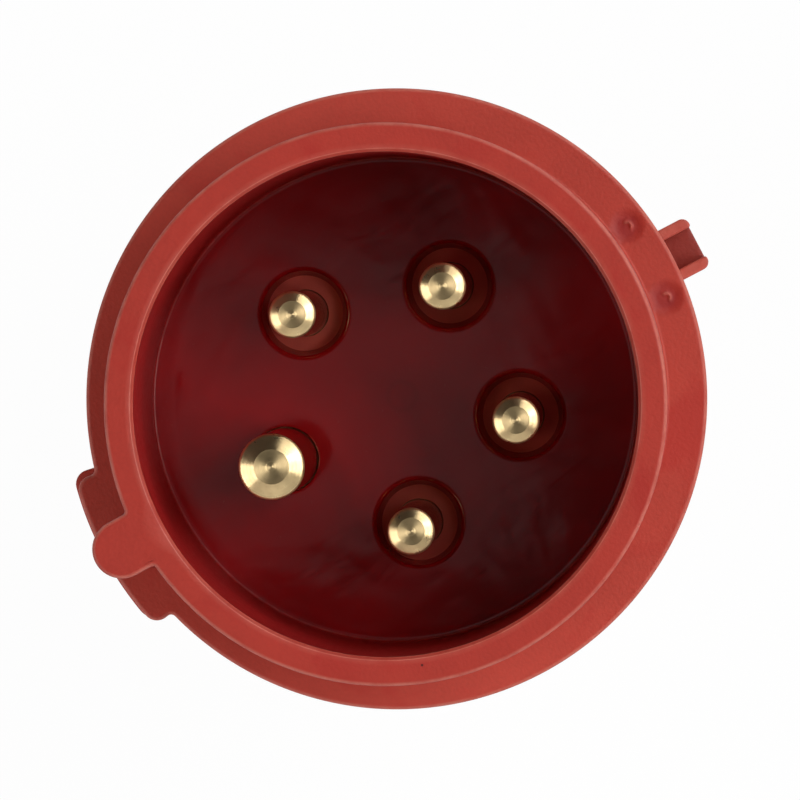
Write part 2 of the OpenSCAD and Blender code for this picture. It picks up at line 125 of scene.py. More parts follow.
class PlugShroudSizes(bpy.types.PropertyGroup):
    bore: length("Bore radius", 0.0266, "Inner radius of the shroud")
    radius: length("Radius", 0.02965, "Outer radius of the shroud")
    depth: length("Depth", 0.042, "Depth of the floor below the mouth")
    floor: length("Floor", 0.003, "Thickness of the floor")
    fillet: length("Floor fillet", 0.0003, "Rounding between floor and wall")
    edge: length("Edge rounding", 0.00042, "Rounding of the outer edges")
    chamfer: length("Mouth chamfer", 0.0003, "Chamfer inside the mouth")
    flange_drop: length("Flange drop", 0.045, "Depth of the flange's face below the mouth")
    flange: length("Flange thickness", 0.004, "Thickness of the flange")
    key_width: length("Key width", 0.0062, "Width of the key rib")
    key_reach: length("Key reach", 0.0348, "Distance from the axis to the key rib's end")
    key_root: length("Key root", 0.0004, "Rounding where the key rib meets the shroud")
    block_corner: length("Block corner", 0.0016, "Rounding of the locking block's corners")
    block_root: length("Block root", 0.0006, "Rounding where the locking block meets the flange")
    block_half: angle("Block half angle", 14.7, "Half of the locking block's angle about the axis")
    recess: length("Recess radius", 0.005, "Radius of a recess at the floor")
    recess_low: length("Recess bottom radius", 0.00415, "Radius of a recess at its bottom")
    lip: length("Recess lip", 0.00035, "Rounding at a recess's mouth")
    earth_hole: length("Earth hole radius", 0.0036, "Radius of the earth contact's hole in the floor")
    pitch: length("Pitch radius", 0.01375, "Radius of the circle of contacts")
    dent: length("Dent radius", 0.0018, "Radius of the two dents in the flange")
    dent_depth: length("Dent depth", 0.0002, "Depth of the dents")
    dent_nub: length("Dent nub", 0.00022, "Height of the ridge left in each dent")
    dent_angle: angle("Dent angle", 8.1, "Angle of each dent from 12 o'clock")
    dent_inset: length("Dent inset", 0.0025, "Distance of the dents from the flange's edge")
    spigot: length("Spigot step", 0.0034, "How far the spigot stands outside the bore")
    spigot_wall: length("Spigot wall", 0.003, "Wall of the spigot")
    groove: length("Groove step", 0.0016, "How far the seal groove's bottom lies outside the bore")
    groove_start: length("Groove start", 0.0047, "Distance from the flange's back to the seal groove")
    groove_end: length("Groove end", 0.0069, "Distance from the flange's back to the groove's end")
    boss: length("Boss radius", 0.0045, "Radius of the boss for the retainer's screw")
    boss_length: length("Boss length", 0.008, "Length of the boss behind the floor")
    boss_hole: length("Boss hole radius", 0.002, "Radius of the screw's hole in the boss")
    boss_hole_end: length("Boss hole end", 0.0025, "Distance from the floor's back to the hole's end")


class PlugHousingSizes(bpy.types.PropertyGroup):
    collar: length("Collar radius", 0.0334, "Outer radius of the collar")
    collar_bore: length("Collar bore", 0.0302, "Inner radius of the collar")
    taper: length("Taper length", 0.042, "Length of the taper behind the collar")
    shoulder: length("Shoulder radius", 0.021, "Radius of the shoulder at the taper's end")
    neck: length("Neck radius", 0.017, "Outer radius of the threaded neck")
    neck_bore: length("Neck bore", 0.013, "Inner radius of the neck")
    neck_length: length("Neck length", 0.016, "Length of the threaded neck")
    wall: length("Wall", 0.003, "Wall of the taper")
    stop: length("Stop hole", 0.009, "Radius of the cable's hole in the stop ring")
    stop_half: length("Stop half thickness", 0.002, "Half of the stop ring's thickness")
    block: length("Block reach", 0.036745, "Distance from the axis to the rear block's face")
    block_length: length("Block length", 0.018, "Length of the rear block")
    skew: angle("Skew", -1.1, "Turn of the rear block and the catch about the axis")
    thread_pitch: length("Thread pitch", 0.003, "Pitch of the neck's thread")
    thread_depth: length("Thread depth", 0.0008, "Depth of the neck's thread")
    thread_fade: length("Thread fade", 0.0012, "Length over which the thread starts and ends")
    edge: length("Edge rounding", 0.0003, "Rounding of the small edges")
    shoulder_edge: length("Shoulder rounding", 0.0008, "Rounding of the shoulder's edge")
    screw_head: length("Screw recess", 0.0029, "Radius of the recess for the locking screw's head")
    screw_place: length("Screw place", 0.0334, "Distance of the locking screw from the axis")
    scoop_length: length("Scoop length", 0.006, "Length of taper that the screw's recess may cut")
    catch_width: length("Catch width", 0.0061, "Width of the catch")
    catch_reach: length("Catch reach", 0.0374, "Distance from the axis to the catch's face")
    catch_length: length("Catch length", 0.016, "Length of the catch along the axis")
    catch_rib: length("Catch rib", 0.00125, "Thickness of each rib of the catch")
    catch_corner: length("Catch corner", 0.0009, "Rounding of the catch's outer corners")
    catch_root: length("Catch root", 0.0015, "How far inside the collar the catch starts")
    web_drop: length("Web drop", 0.0035, "Depth of the web below the ribs' front ends")
    web: length("Web thickness", 0.0025, "Thickness of the web between the ribs")
    web_inset: length("Web inset", 0.0002, "How far the web's face lies behind the ribs' faces")
    catch_edge: length("Catch edge", 0.00022, "Rounding of the ends of the ribs and the web")


class PlugNutSizes(bpy.types.PropertyGroup):
    bore: length("Bore radius", 0.01708, "Inner radius of the gland nut")
    entry: length("Entry radius", 0.01, "Radius of the cable entry")
    end: length("End wall", 0.004, "Thickness of the nut's end wall")
    bevel: length("Bevel", 0.001, "Bevel at the nut's ends")
    flute: length("Flute radius", 0.0018, "Radius of a grip flute")
    flute_depth: length("Flute depth", 0.0008, "Depth of the grip flutes")
    margin: length("Margin", 0.003, "Plain band at each end of the flutes")
    fade: length("Flute fade", 0.0014, "Length over which a flute runs out")
    edge: length("Edge rounding", 0.0004, "Bevel of the small edges")
    flutes: IntProperty(name="Flutes", default=20, min=3, description="Number of grip flutes")


class PlugContactSizes(bpy.types.PropertyGroup):
    crown: length("Crown height", 0.0009, "Height of the crown of a phase or neutral contact")
    earth_crown: length("Earth crown height", 0.0012, "Height of the earth contact's crown")
    fine: length("Fine rings", 0.00017, "Spacing of the fine tool rings")
    coarse: length("Coarse rings", 0.00062, "Spacing of the coarse tool rings")


class PlugFinishes(bpy.types.PropertyGroup):
    red: colour("Textured red", (0.40, 0.030, 0.017), "Colour of the eroded outer faces")
    # Paler copy of the textured red: painted light on the flange's face, the rear housing and the nut
    lit_red: colour("Rear red", (0.47, 0.050, 0.030), "Colour of the flange and the rear parts")
    worn_and_sheen: colour("Edge wear and sheen", (0.64, 0.18, 0.13), "Colour of edges painted pale for wear and highlight")
    red_inside: colour("Polished red", (0.38, 0.003, 0.006), "Colour of the polished inner faces")
    red_wall: colour("Satin red", (0.38, 0.011, 0.011), "Colour of the shroud's inner wall")
    # Lightened so that the recess floors look lit: painted light on the terminal block
    red_block_lit: colour("Block red", (0.74, 0.115, 0.072), "Colour of the terminal block")
    brass: colour("Brass", (0.84, 0.63, 0.33), "Colour of the turned contacts")
    steel: colour("Steel", (0.60, 0.60, 0.58), "Colour of the plated screws and washer")
    rubber: colour("Rubber", (0.018, 0.018, 0.018), "Colour of the seals")
    dark: colour("Dark plastic", (0.035, 0.035, 0.038), "Colour of the clamping ring")
    pale: colour("Pale plastic", (0.60, 0.58, 0.50), "Colour of the contact retainer")


class PlugStage(bpy.types.PropertyGroup):
    main: power("Main light", 4.5, "Power of the high soft light on the right")
    side: power("Side light", 2.6, "Power of the low soft light on the right")
    fill: power("Fill light", 2.8, "Power of the low soft light below")
    left: power("Left light", 2.5, "Power of the weak soft light on the left")
    card: power("Overhead card", 0.0088, "Power of the dim card overhead that the floor mirrors")
    card_turn: angle("Card turn", 61.3, "Turn of the overhead card about the axis")
    world: FloatProperty(name="Surroundings", default=0.03, min=0.0,
                         description="Strength of the light from all round")
    seen: FloatProperty(name="Floor glow", default=0.97, min=0.0, max=1.0, subtype="FACTOR",
                        description="How white the floor looks to the camera; the rest shows shadow")
    gap: length("Floor gap", 0.0002, "Distance from the plug's end face to the floor")
    size: length("Floor half size", 3.0, "Half of the floor's width")
    lens: FloatProperty(name="Lens", default=442.87, min=1.0, unit="CAMERA",
                        description="Focal length of the camera")
    place: FloatVectorProperty(name="Camera place", default=(0.001568, 0.031155, 1.167209),
                               subtype="TRANSLATION", description="Where the camera stands")
    turn: FloatVectorProperty(name="Camera turn", default=(-0.01271, 0.02564, 1.06894),
                              subtype="EULER", description="How the camera is turned")
    floor: colour("Floor", (0.85, 0.85, 0.85), "Colour of the floor")


# ---------------------------------------------------------------- surfaces

def along(phi):
    """Unit vectors at angle phi from the key's middle, as (across the key, outwards)."""
    return np.stack([np.sin(phi), np.cos(phi)], -1)


def bend(centre, radius, start, end, steps):
    """Points of an arc: centre plus radius times the direction, which turns evenly from start to end."""
    return np.asarray(centre) + radius * along(np.linspace(start, end, steps + 1))


class Outlines:
    """Outlines round the plug's axis whose stations lie opposite each other, so rings of different
    outline can be joined. Each half runs from the key's middle to 12 o'clock in four stretches: key,
    locking block, plain and fine. An offset moves an outline outwards and keeps its arcs' centres."""

    def __init__(self, sizes, block, corner, root, half_angle, rim, coarse=154, fine=82):
        self.key_half, self.key_centre = sizes.key_width / 2, sizes.key_reach - sizes.key_width / 2
        self.shroud, self.key_root = sizes.radius, sizes.key_root
        self.block, self.corner, self.root, self.half, self.rim = block, corner, root, half_angle, rim
        self.key_foot = self.key_half + self.key_root
        self.key_foot_out = math.sqrt((self.shroud + self.key_root) ** 2 - self.key_foot ** 2)
        self.key_end = math.atan2(self.key_foot, self.key_foot_out)
        self.block_end = half_angle + math.asin(root / (rim + root))
        knee = math.pi - FINE_STRETCH
        self.plain = np.concatenate([np.linspace(self.block_end, knee, coarse + 1)[1:],
                                     np.linspace(knee, math.pi, fine + 1)[1:]])
        tip = self._key(0.0)
        step = np.linalg.norm(np.diff(tip, axis=0), axis=1)
        self.share = np.concatenate([[0.0], np.cumsum(step)]) / step.sum()
        self.block_steps = 20

    def _key(self, off):
        side = np.linspace((self.key_half + off, self.key_centre),
                           (self.key_half + off, self.key_foot_out), 4)[1:]
        return np.concatenate([
            bend((0.0, self.key_centre), self.key_half + off, 0.0, math.pi / 2, 12), side,
            bend((self.key_foot, self.key_foot_out), self.key_root - off, -math.pi / 2,
                 self.key_end - math.pi, 5)[1:]])

    def _whole(self, half):
        mirrored = half[-2:0:-1] * (-1.0, 1.0)
        points = np.concatenate([half, mirrored])
        return np.stack([points[:, 0], -points[:, 1]], 1)

    def angles(self):
        """Angle from the key's middle at each station of a plain ring."""
        half = np.concatenate([self.key_end * self.share,
                               np.linspace(self.key_end, self.block_end, self.block_steps + 1)[1:],
                               self.plain])
        return np.concatenate([half, -half[-2:0:-1]])

    def ring(self, radius):
        """Circle of this radius, or one radius for each station."""
        phi = self.angles()
        return np.stack([np.sin(phi), -np.cos(phi)], 1) * np.reshape(radius, (-1, 1))

    def keyed(self, off):
        """Circle of the shroud with the key's round end, its straight sides and a hollow at each root."""
        radius = self.shroud + off
        return self._whole(np.concatenate([
            self._key(off),
            radius * along(np.linspace(self.key_end, self.block_end, self.block_steps + 1)[1:]),
            radius * along(self.plain)]))

    def blocked(self, off, rim=None):
        """Circle of the rim with the locking block: its arc, a rounded corner, the side and a hollow."""
        rim = self.rim if rim is None else rim
        middle = self.block - self.corner
        corner_at = self.half - math.asin(self.corner / middle)
        root_at = self.half + math.asin(self.root / (rim + self.root))
        end = np.linspace(root_at, self.block_end, 3)[1:]
        return self._whole(np.concatenate([
            (self.block + off) * along(self.key_end * self.share),
            (self.block + off) * along(np.linspace(self.key_end, corner_at, 7)[1:]),
            bend(middle * along(np.array(corner_at)), self.corner + off, corner_at,
                 self.half + math.pi / 2, 7)[1:],
            bend((rim + self.root) * along(np.array(root_at)), self.root - off,
                 self.half - math.pi / 2, root_at - math.pi, 4),
            (rim + off) * along(end), (rim + off) * along(self.plain)]))


def lift(outline, z):
    """Outline set at height z, which may be one number or one for each station."""
    return np.column_stack([outline, np.broadcast_to(z, len(outline))])


def between(first, second, steps, low=0.0, high=1.0):
    """Rings spaced evenly on the straight lines that join two rings, without the ends at 0 and 1."""
    share = np.linspace(low, high, steps + 2)[1:-1, None, None]
    return list(first + (second - first) * share)


def loft_faces(rings, around, closed=False):
    """Quads between neighbouring rings; facing right of the way round, seen along the profile."""
    i, j = np.meshgrid(np.arange(rings if closed else rings - 1), np.arange(around), indexing="ij")
    k, n = (i + 1) % rings, (j + 1) % around
    return np.stack([i * around + j, k * around + j, k * around + n, i * around + n], -1).reshape(-1, 4)


class Shell:
    """Collects patches of vertices and faces, and makes one mesh of them with its seams closed."""

    def __init__(self):
        self.points, self.faces, self.finish, self.wear, self.count = [], [], [], [], 0

    def add(self, points, faces, finish=0, wear=0.0):
        points, faces = np.asarray(points, float).reshape(-1, 3), np.asarray(faces)
        self.points.append(points)
        self.faces.extend((faces + self.count).tolist())
        self.finish.append(np.broadcast_to(finish, len(faces)))
        self.wear.append(np.broadcast_to(wear, len(points)))
        self.count += len(points)

    def loft(self, rings, finish=0, wear=0.0, closed=False):
        """Joins the rings in turn. The finish may be one number for each gap, and the share of wear and
        painted highlight one for each ring or for each point."""
        rings = np.asarray(rings)
        gaps = len(rings) if closed else len(rings) - 1
        wear = np.asarray(wear, float)
        wear = wear[:, None] if wear.ndim == 1 else wear
        self.add(rings, loft_faces(rings.shape[0], rings.shape[1], closed),
                 np.repeat(np.broadcast_to(finish, gaps), rings.shape[1]),
                 np.broadcast_to(wear, rings.shape[:2]).ravel())

    def plate(self, outer, holes, z, up=True, finish=0):
        """Flat face at height z inside the outer loop. Its triangles are a constrained Delaunay net
        of the loops' points, without those whose middles lie inside a hole (centre, radius, loop)."""
        loops = [outer[:, :2]] + [loop[:, :2] for _, _, loop in holes]
        points = np.concatenate(loops)
        starts = np.cumsum([0] + [len(loop) for loop in loops])
        edges = np.concatenate([np.stack([np.arange(a, b), np.roll(np.arange(a, b), -1)], 1)
                                for a, b in zip(starts[:-1], starts[1:])])
        net = delaunay_2d_cdt((points * 1000).tolist(), edges.tolist(), [], 1, 1e-7)
        flat = np.array([tuple(p) for p in net[0]]) / 1000
        faces = np.array(net[2])
        middle = flat[faces].mean(axis=1)
        keep = np.ones(len(faces), bool)
        for centre, radius, _ in holes:
            keep &= np.linalg.norm(middle - np.asarray(centre), axis=1) > radius * 0.9999
        faces = faces[keep]
        a, b, c = (flat[faces[:, n]] for n in range(3))
        turn = (b[:, 0] - a[:, 0]) * (c[:, 1] - a[:, 1]) - (b[:, 1] - a[:, 1]) * (c[:, 0] - a[:, 0])
        faces = np.where(((turn > 0) == up)[:, None], faces, faces[:, ::-1])
        self.add(lift(flat, z), faces, finish)

    def object(self, name, sharp=34.0):
        """Makes the object: seams welded, faces turned outwards, edges over the sharp angle kept crisp."""
        mesh = bpy.data.meshes.new(name)
        mesh.from_pydata(np.concatenate(self.points), [], self.faces)
        mesh.polygons.foreach_set("material_index", np.concatenate(self.finish).astype(np.int32))
        wear = mesh.attributes.new("wear", "FLOAT", "POINT")
        wear.data.foreach_set("value", np.concatenate(self.wear).astype(np.float32))
        work = bmesh.new()
        work.from_mesh(mesh)
        bmesh.ops.remove_doubles(work, verts=work.verts, dist=WELD)
        bmesh.ops.dissolve_degenerate(work, edges=work.edges, dist=WELD / 20)
        if work.calc_volume(signed=True) < 0.0:
            bmesh.ops.reverse_faces(work, faces=work.faces)
        work.to_mesh(mesh)
        work.free()
        mesh.polygons.foreach_set("use_smooth", np.ones(len(mesh.polygons), bool))
        mesh.set_sharp_from_angle(angle=math.radians(sharp))
        mesh.update()
        piece = bpy.data.objects.new(name, mesh)
        bpy.context.scene.collection.objects.link(piece)
        return piece


def spot(x, y, radius, z, count=72):
    """Ring of this radius about (x, y) at height z, running the same way as the rings round the axis."""
    phi = np.arange(count) * (2 * math.pi / count)
    return np.stack([x + radius * np.sin(phi), y - radius * np.cos(phi), np.full(count, z)], 1)


def quarter(radius, steps):
    """Pairs (run, rise) along a quarter turn of this radius, from its start to its end."""
    t = np.linspace(0.0, math.pi / 2, steps + 1)
    return np.stack([radius * np.sin(t), radius * (1 - np.cos(t))], 1)


def smooth(x):
    """Goes from 0 to 1 as x does, with level ends: 3x squared less 2x cubed, held outside 0 to 1."""
    x = np.clip(x, 0.0, 1.0)
    return x * x * (3 - 2 * x)


# ---------------------------------------------------------------- materials

class Finish:
    """A node material with one Principled shader and the object's own coordinates."""

    def __init__(self, name):
        self.material = bpy.data.materials.new(name)
        self.material.use_nodes = True
        self.tree = self.material.node_tree
        self.shader = self.tree.nodes["Principled BSDF"]
        self.place = self.node("ShaderNodeTexCoord").outputs["Object"]

    def node(self, kind, **settings):
        made = self.tree.nodes.new(kind)
        for key, value in settings.items():
            setattr(made, key, value)
        return made

    def link(self, source, target):
        self.tree.links.new(source, target)

    def moved(self, centre, scale=(1, 1, 1)):
        mapping = self.node("ShaderNodeMapping", vector_type="POINT")
        mapping.inputs["Location"].default_value = [-c * s for c, s in zip(centre, scale)]
        mapping.inputs["Scale"].default_value = scale
        self.link(self.place, mapping.inputs["Vector"])
        return mapping.outputs["Vector"]

    def noise(self, scale, detail=2.0, rough=0.5, place=None, distortion=0.0):
        made = self.node("ShaderNodeTexNoise")
        made.inputs["Scale"].default_value = scale
        made.inputs["Detail"].default_value = detail
        made.inputs["Roughness"].default_value = rough
        made.inputs["Distortion"].default_value = distortion
        self.link(place or self.place, made.inputs["Vector"])
        return made.outputs["Fac"]

    def spread(self, source, low, high, from_low=0.3, from_high=0.7):
        made = self.node("ShaderNodeMapRange")
        for key, value in (("From Min", from_low), ("From Max", from_high), ("To Min", low),
                           ("To Max", high)):
            made.inputs[key].default_value = value
        self.link(source, made.inputs["Value"])
        return made.outputs["Result"]

    def math(self, operation, first, second=0.5):
        made = self.node("ShaderNodeMath", operation=operation)
        for socket, value in zip(made.inputs, (first, second)):
            if isinstance(value, (int, float)):
                socket.default_value = value
            else:
                self.link(value, socket)
        return made.outputs["Value"]

    def blend(self, share, first, second):
        made = self.node("ShaderNodeMix", data_type="RGBA")
        for socket, value in ((made.inputs[0], share), (made.inputs[6], first), (made.inputs[7], second)):
            if isinstance(value, (int, float)):
                socket.default_value = value
            elif hasattr(value, "links"):
                self.link(value, socket)
            else:
                socket.default_value = (*value, 1.0)
        return made.outputs[2]

    def attribute(self, name):
        return self.node("ShaderNodeAttribute", attribute_name=name).outputs["Fac"]

    def near(self, centre, inner, outer):
        """1 nearer than inner to a point, 0 beyond outer."""
        made = self.node("ShaderNodeVectorMath", operation="DISTANCE")
        made.inputs[1].default_value = centre
        self.link(self.place, made.inputs[0])
        return self.spread(made.outputs["Value"], 1.0, 0.0, inner, outer)

    def bump(self, height, strength, distance, under=None):
        made = self.node("ShaderNodeBump")
        made.inputs["Strength"].default_value = strength
        made.inputs["Distance"].default_value = distance
        self.link(height, made.inputs["Height"])
        if under is not None:
            self.link(under, made.inputs["Normal"])
        return made.outputs["Normal"]

    def set(self, **values):
        for key, value in values.items():
            self.shader.inputs[key.replace("_", " ")].default_value = value


def shade(rgb, factor):
    """The colour made darker or lighter by the factor, and never over 1."""
    return tuple(min(1.0, c * factor) for c in rgb)


def textured_red(name, rgb, worn_and_sheen, dull=(), specks=()):
    """Spark-eroded moulding: fine pits a third of a millimetre wide, slow mottling, rubbed patches, edges
    painted paler for rubbed wear and painted highlight, darker places round the dents (centre, radius) and
    specks of dirt."""
    f = Finish(name)
    mottle = f.spread(f.noise(140.0, 4.0, 0.6), 0.0, 1.0, 0.35, 0.65)
    eroded = f.noise(2600.0, 3.0, 0.55)
    grain = f.spread(eroded, 0.0, 1.0, 0.3, 0.7)
    rubbed = f.spread(f.noise(75.0, 3.0, 0.65, distortion=0.8), 0.0, 0.5, 0.56, 0.68)
    tint = f.blend(mottle, shade(rgb, 0.93), shade(rgb, 1.05))
    tint = f.blend(f.math("MULTIPLY", grain, 0.4), tint, shade(rgb, 1.25))
    tint = f.blend(rubbed, tint, (rgb[0] * 0.97, rgb[1] * 0.45, rgb[2] * 0.5))
    for centre, radius in dull:
        edge = f.spread(f.noise(900.0, 3.0, 0.6), 0.55, 1.0)
        patch = f.math("MULTIPLY", f.near(centre, radius * 0.55, radius * 1.25), edge)
        tint = f.blend(patch, tint, (rgb[0] * 0.66, rgb[1] * 0.35, rgb[2] * 0.5))
    for centre, radius in specks:
        tint = f.blend(f.near(centre, radius * 0.5, radius), tint, shade(rgb, 0.2))
    broken = f.spread(f.noise(420.0, 4.0, 0.65), 0.45, 1.0, 0.35, 0.6)
    # Paler where the wear share is high: rubbed wear, and painted highlight on rounded edges, the mouth's
    # chamfer, the dents' ridges and the catch's ends
    tint = f.blend(f.math("MULTIPLY", f.attribute("wear"), broken), tint, worn_and_sheen)
    f.link(tint, f.shader.inputs["Base Color"])
    f.link(f.spread(grain, 0.48, 0.60, 0.0, 1.0), f.shader.inputs["Roughness"])
    pits = f.bump(eroded, 0.6, 0.00007)
    f.link(f.bump(f.noise(260.0, 3.0, 0.5), 0.25, 0.00012, pits), f.shader.inputs["Normal"])
    f.set(Specular_IOR_Level=0.4, IOR=1.49)
    return f.material


def polished_red(name, rgb, gate):
    """Polished moulding: sink waves a few millimetres long that are a hundredth of a millimetre deep,
    flow marks, a faint round gate mark and light dust."""
    f = Finish(name)
    waves = f.noise(60.0, 2.0, 0.5, distortion=1.2)
    flow = f.noise(330.0, 4.0, 0.6, place=f.moved((0, 0, 0), (1.0, 0.35, 1.0)), distortion=1.5)
    tint = f.blend(f.spread(waves, 0.0, 1.0), shade(rgb, 0.84), shade(rgb, 1.18))
    dust = f.spread(f.noise(1900.0, 2.0, 0.7), 0.0, 0.05, 0.68, 0.78)
    tint = f.blend(dust, tint, (0.5, 0.3, 0.25))
    ring = f.math("SUBTRACT", f.near(gate, 0.0016, 0.0020), f.near(gate, 0.0011, 0.0015))
    f.link(f.blend(f.math("MULTIPLY", ring, 0.18), tint, shade(rgb, 0.4)), f.shader.inputs["Base Color"])
    f.link(f.spread(flow, 0.04, 0.08), f.shader.inputs["Roughness"])
    sink = f.bump(waves, 1.0, 0.000028)
    f.link(f.bump(flow, 0.5, 0.000006, sink), f.shader.inputs["Normal"])
    f.set(Specular_IOR_Level=0.45, IOR=1.49)
    return f.material


def turned_brass(name, rgb, rings, centre, crown, end):
    """Turned brass: sine tool rings of two spacings round the contact's own axis, a centre nib,
    tarnish and a gloss that spreads across the rings. The side below the crown's height is burnished
    smooth, and the flat at the end's height is the dullest."""
    f = Finish(name)
    split = f.node("ShaderNodeSeparateXYZ")
    f.link(f.moved(centre), split.inputs["Vector"])
    reach = f.math("SQRT", f.math("ADD", f.math("POWER", split.outputs["X"], 2.0),
                                  f.math("POWER", split.outputs["Y"], 2.0)))
    run = f.math("ADD", reach, split.outputs["Z"])
    fine, coarse = (f.math("SINE", f.math("MULTIPLY", run, 2 * math.pi / step)) for step in rings)
    nib = f.spread(reach, 12.0, 0.0, 0.00008, 0.00022)
    nib = f.math("SUBTRACT", nib, f.spread(f.math("ABSOLUTE", f.math("SUBTRACT", reach, 0.0005)),
                                           9.0, 0.0, 0.00003, 0.00012))
    uneven = f.spread(f.noise(1300.0, 3.0, 0.6), 0.0, 2.0, 0.3, 0.7)
    height = f.math("ADD", f.math("ADD", fine, f.math("MULTIPLY", coarse, 1.2)), f.math("ADD", nib, uneven))
    tarnish = f.spread(f.noise(260.0, 4.0, 0.6), 0.0, 1.0)
    tint = f.blend(tarnish, shade(rgb, 0.86), shade(rgb, 1.06))
    stains = f.spread(f.noise(1500.0, 4.0, 0.65), 0.0, 0.5, 0.64, 0.78)
    f.link(f.blend(stains, tint, shade(rgb, 0.45)), f.shader.inputs["Base Color"])
    turned = f.spread(split.outputs["Z"], 0.0, 1.0, crown - 0.0001, crown + 0.0001)
    rough = f.math("MULTIPLY", f.spread(f.noise(900.0, 3.0, 0.6), 0.26, 0.36), turned)
    flat = f.spread(split.outputs["Z"], 0.0, 0.13, end - 0.00002, end - 0.00001)
    f.link(f.math("ADD", f.math("MAXIMUM", rough, 0.08), flat), f.shader.inputs["Roughness"])
    f.link(f.bump(height, 0.5, 0.000004), f.shader.inputs["Normal"])
    tangent = f.node("ShaderNodeTangent", direction_type="RADIAL", axis="Z")
    f.link(tangent.outputs["Tangent"], f.shader.inputs["Tangent"])
    f.set(Metallic=1.0, Anisotropic=0.75, Anisotropic_Rotation=0.25)
    return f.material


def plain(name, rgb, patches, gloss, grain, metallic=0.0):
    """Finish of a plain part: patches (noise scale, how far they reach, darkest and lightest shade),
    gloss (noise scale, lowest and highest roughness) and grain (noise scale, detail, strength, depth)."""
    f = Finish(name)
    scale, reach, darkest, lightest = patches
    tint = f.blend(f.spread(f.noise(scale, 4.0, 0.6), 0.0, reach), shade(rgb, darkest), shade(rgb, lightest))
    f.link(tint, f.shader.inputs["Base Color"])
    scale, low, high = gloss
    f.link(f.spread(f.noise(scale, 3.0, 0.6), low, high), f.shader.inputs["Roughness"])
    scale, detail, strength, depth = grain
    f.link(f.bump(f.noise(scale, detail, 0.5), strength, depth), f.shader.inputs["Normal"])
    f.set(Metallic=metallic)
    return f.material


def plated_steel(name, rgb):
    """Zinc-plated steel: fine crystalline grain with duller patches."""
    return plain(name, rgb, (420.0, 1.0, 0.82, 1.08), (1400.0, 0.28, 0.42), (3000.0, 2.0, 0.2, 0.00002), 1.0)


def soft_rubber(name, rgb):
    """Moulded rubber: dull, with fine grain and a trace of bloom."""
    return plain(name, rgb, (300.0, 0.5, 1.0, 2.2), (2000.0, 0.62, 0.78), (2400.0, 3.0, 0.3, 0.00004))


def satin_plastic(name, rgb, rough=0.44):
    """Satin moulding: even colour with faint mottling and a shallow grain."""
    return plain(name, rgb, (200.0, 1.0, 0.9, 1.08), (1500.0, rough - 0.06, rough + 0.06),
                 (2200.0, 3.0, 0.25, 0.00003))


def dress(node, material):
    """Gives a CAD node its finish."""
    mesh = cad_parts[node].data
    mesh.materials.clear()
    mesh.materials.append(material)


def settle(piece, node, body, slot, *materials):
    """Ends an operator: the piece gets its finishes, stands for its CAD node and rides on its body."""
    for material in materials:
        piece.data.materials.append(material)
    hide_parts(node)
    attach(piece, body)
    return {"FINISHED"}


def pole(name):
    """Middle of a contact in plan, from its box in the frame."""
    low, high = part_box("pin_" + name)
    return (low[0] + high[0]) / 2, (low[1] + high[1]) / 2


# ---------------------------------------------------------------- pieces

# Places of the shroud's finishes in its list of materials
TEXTURED, POLISHED, SATIN, FLANGE = range(4)


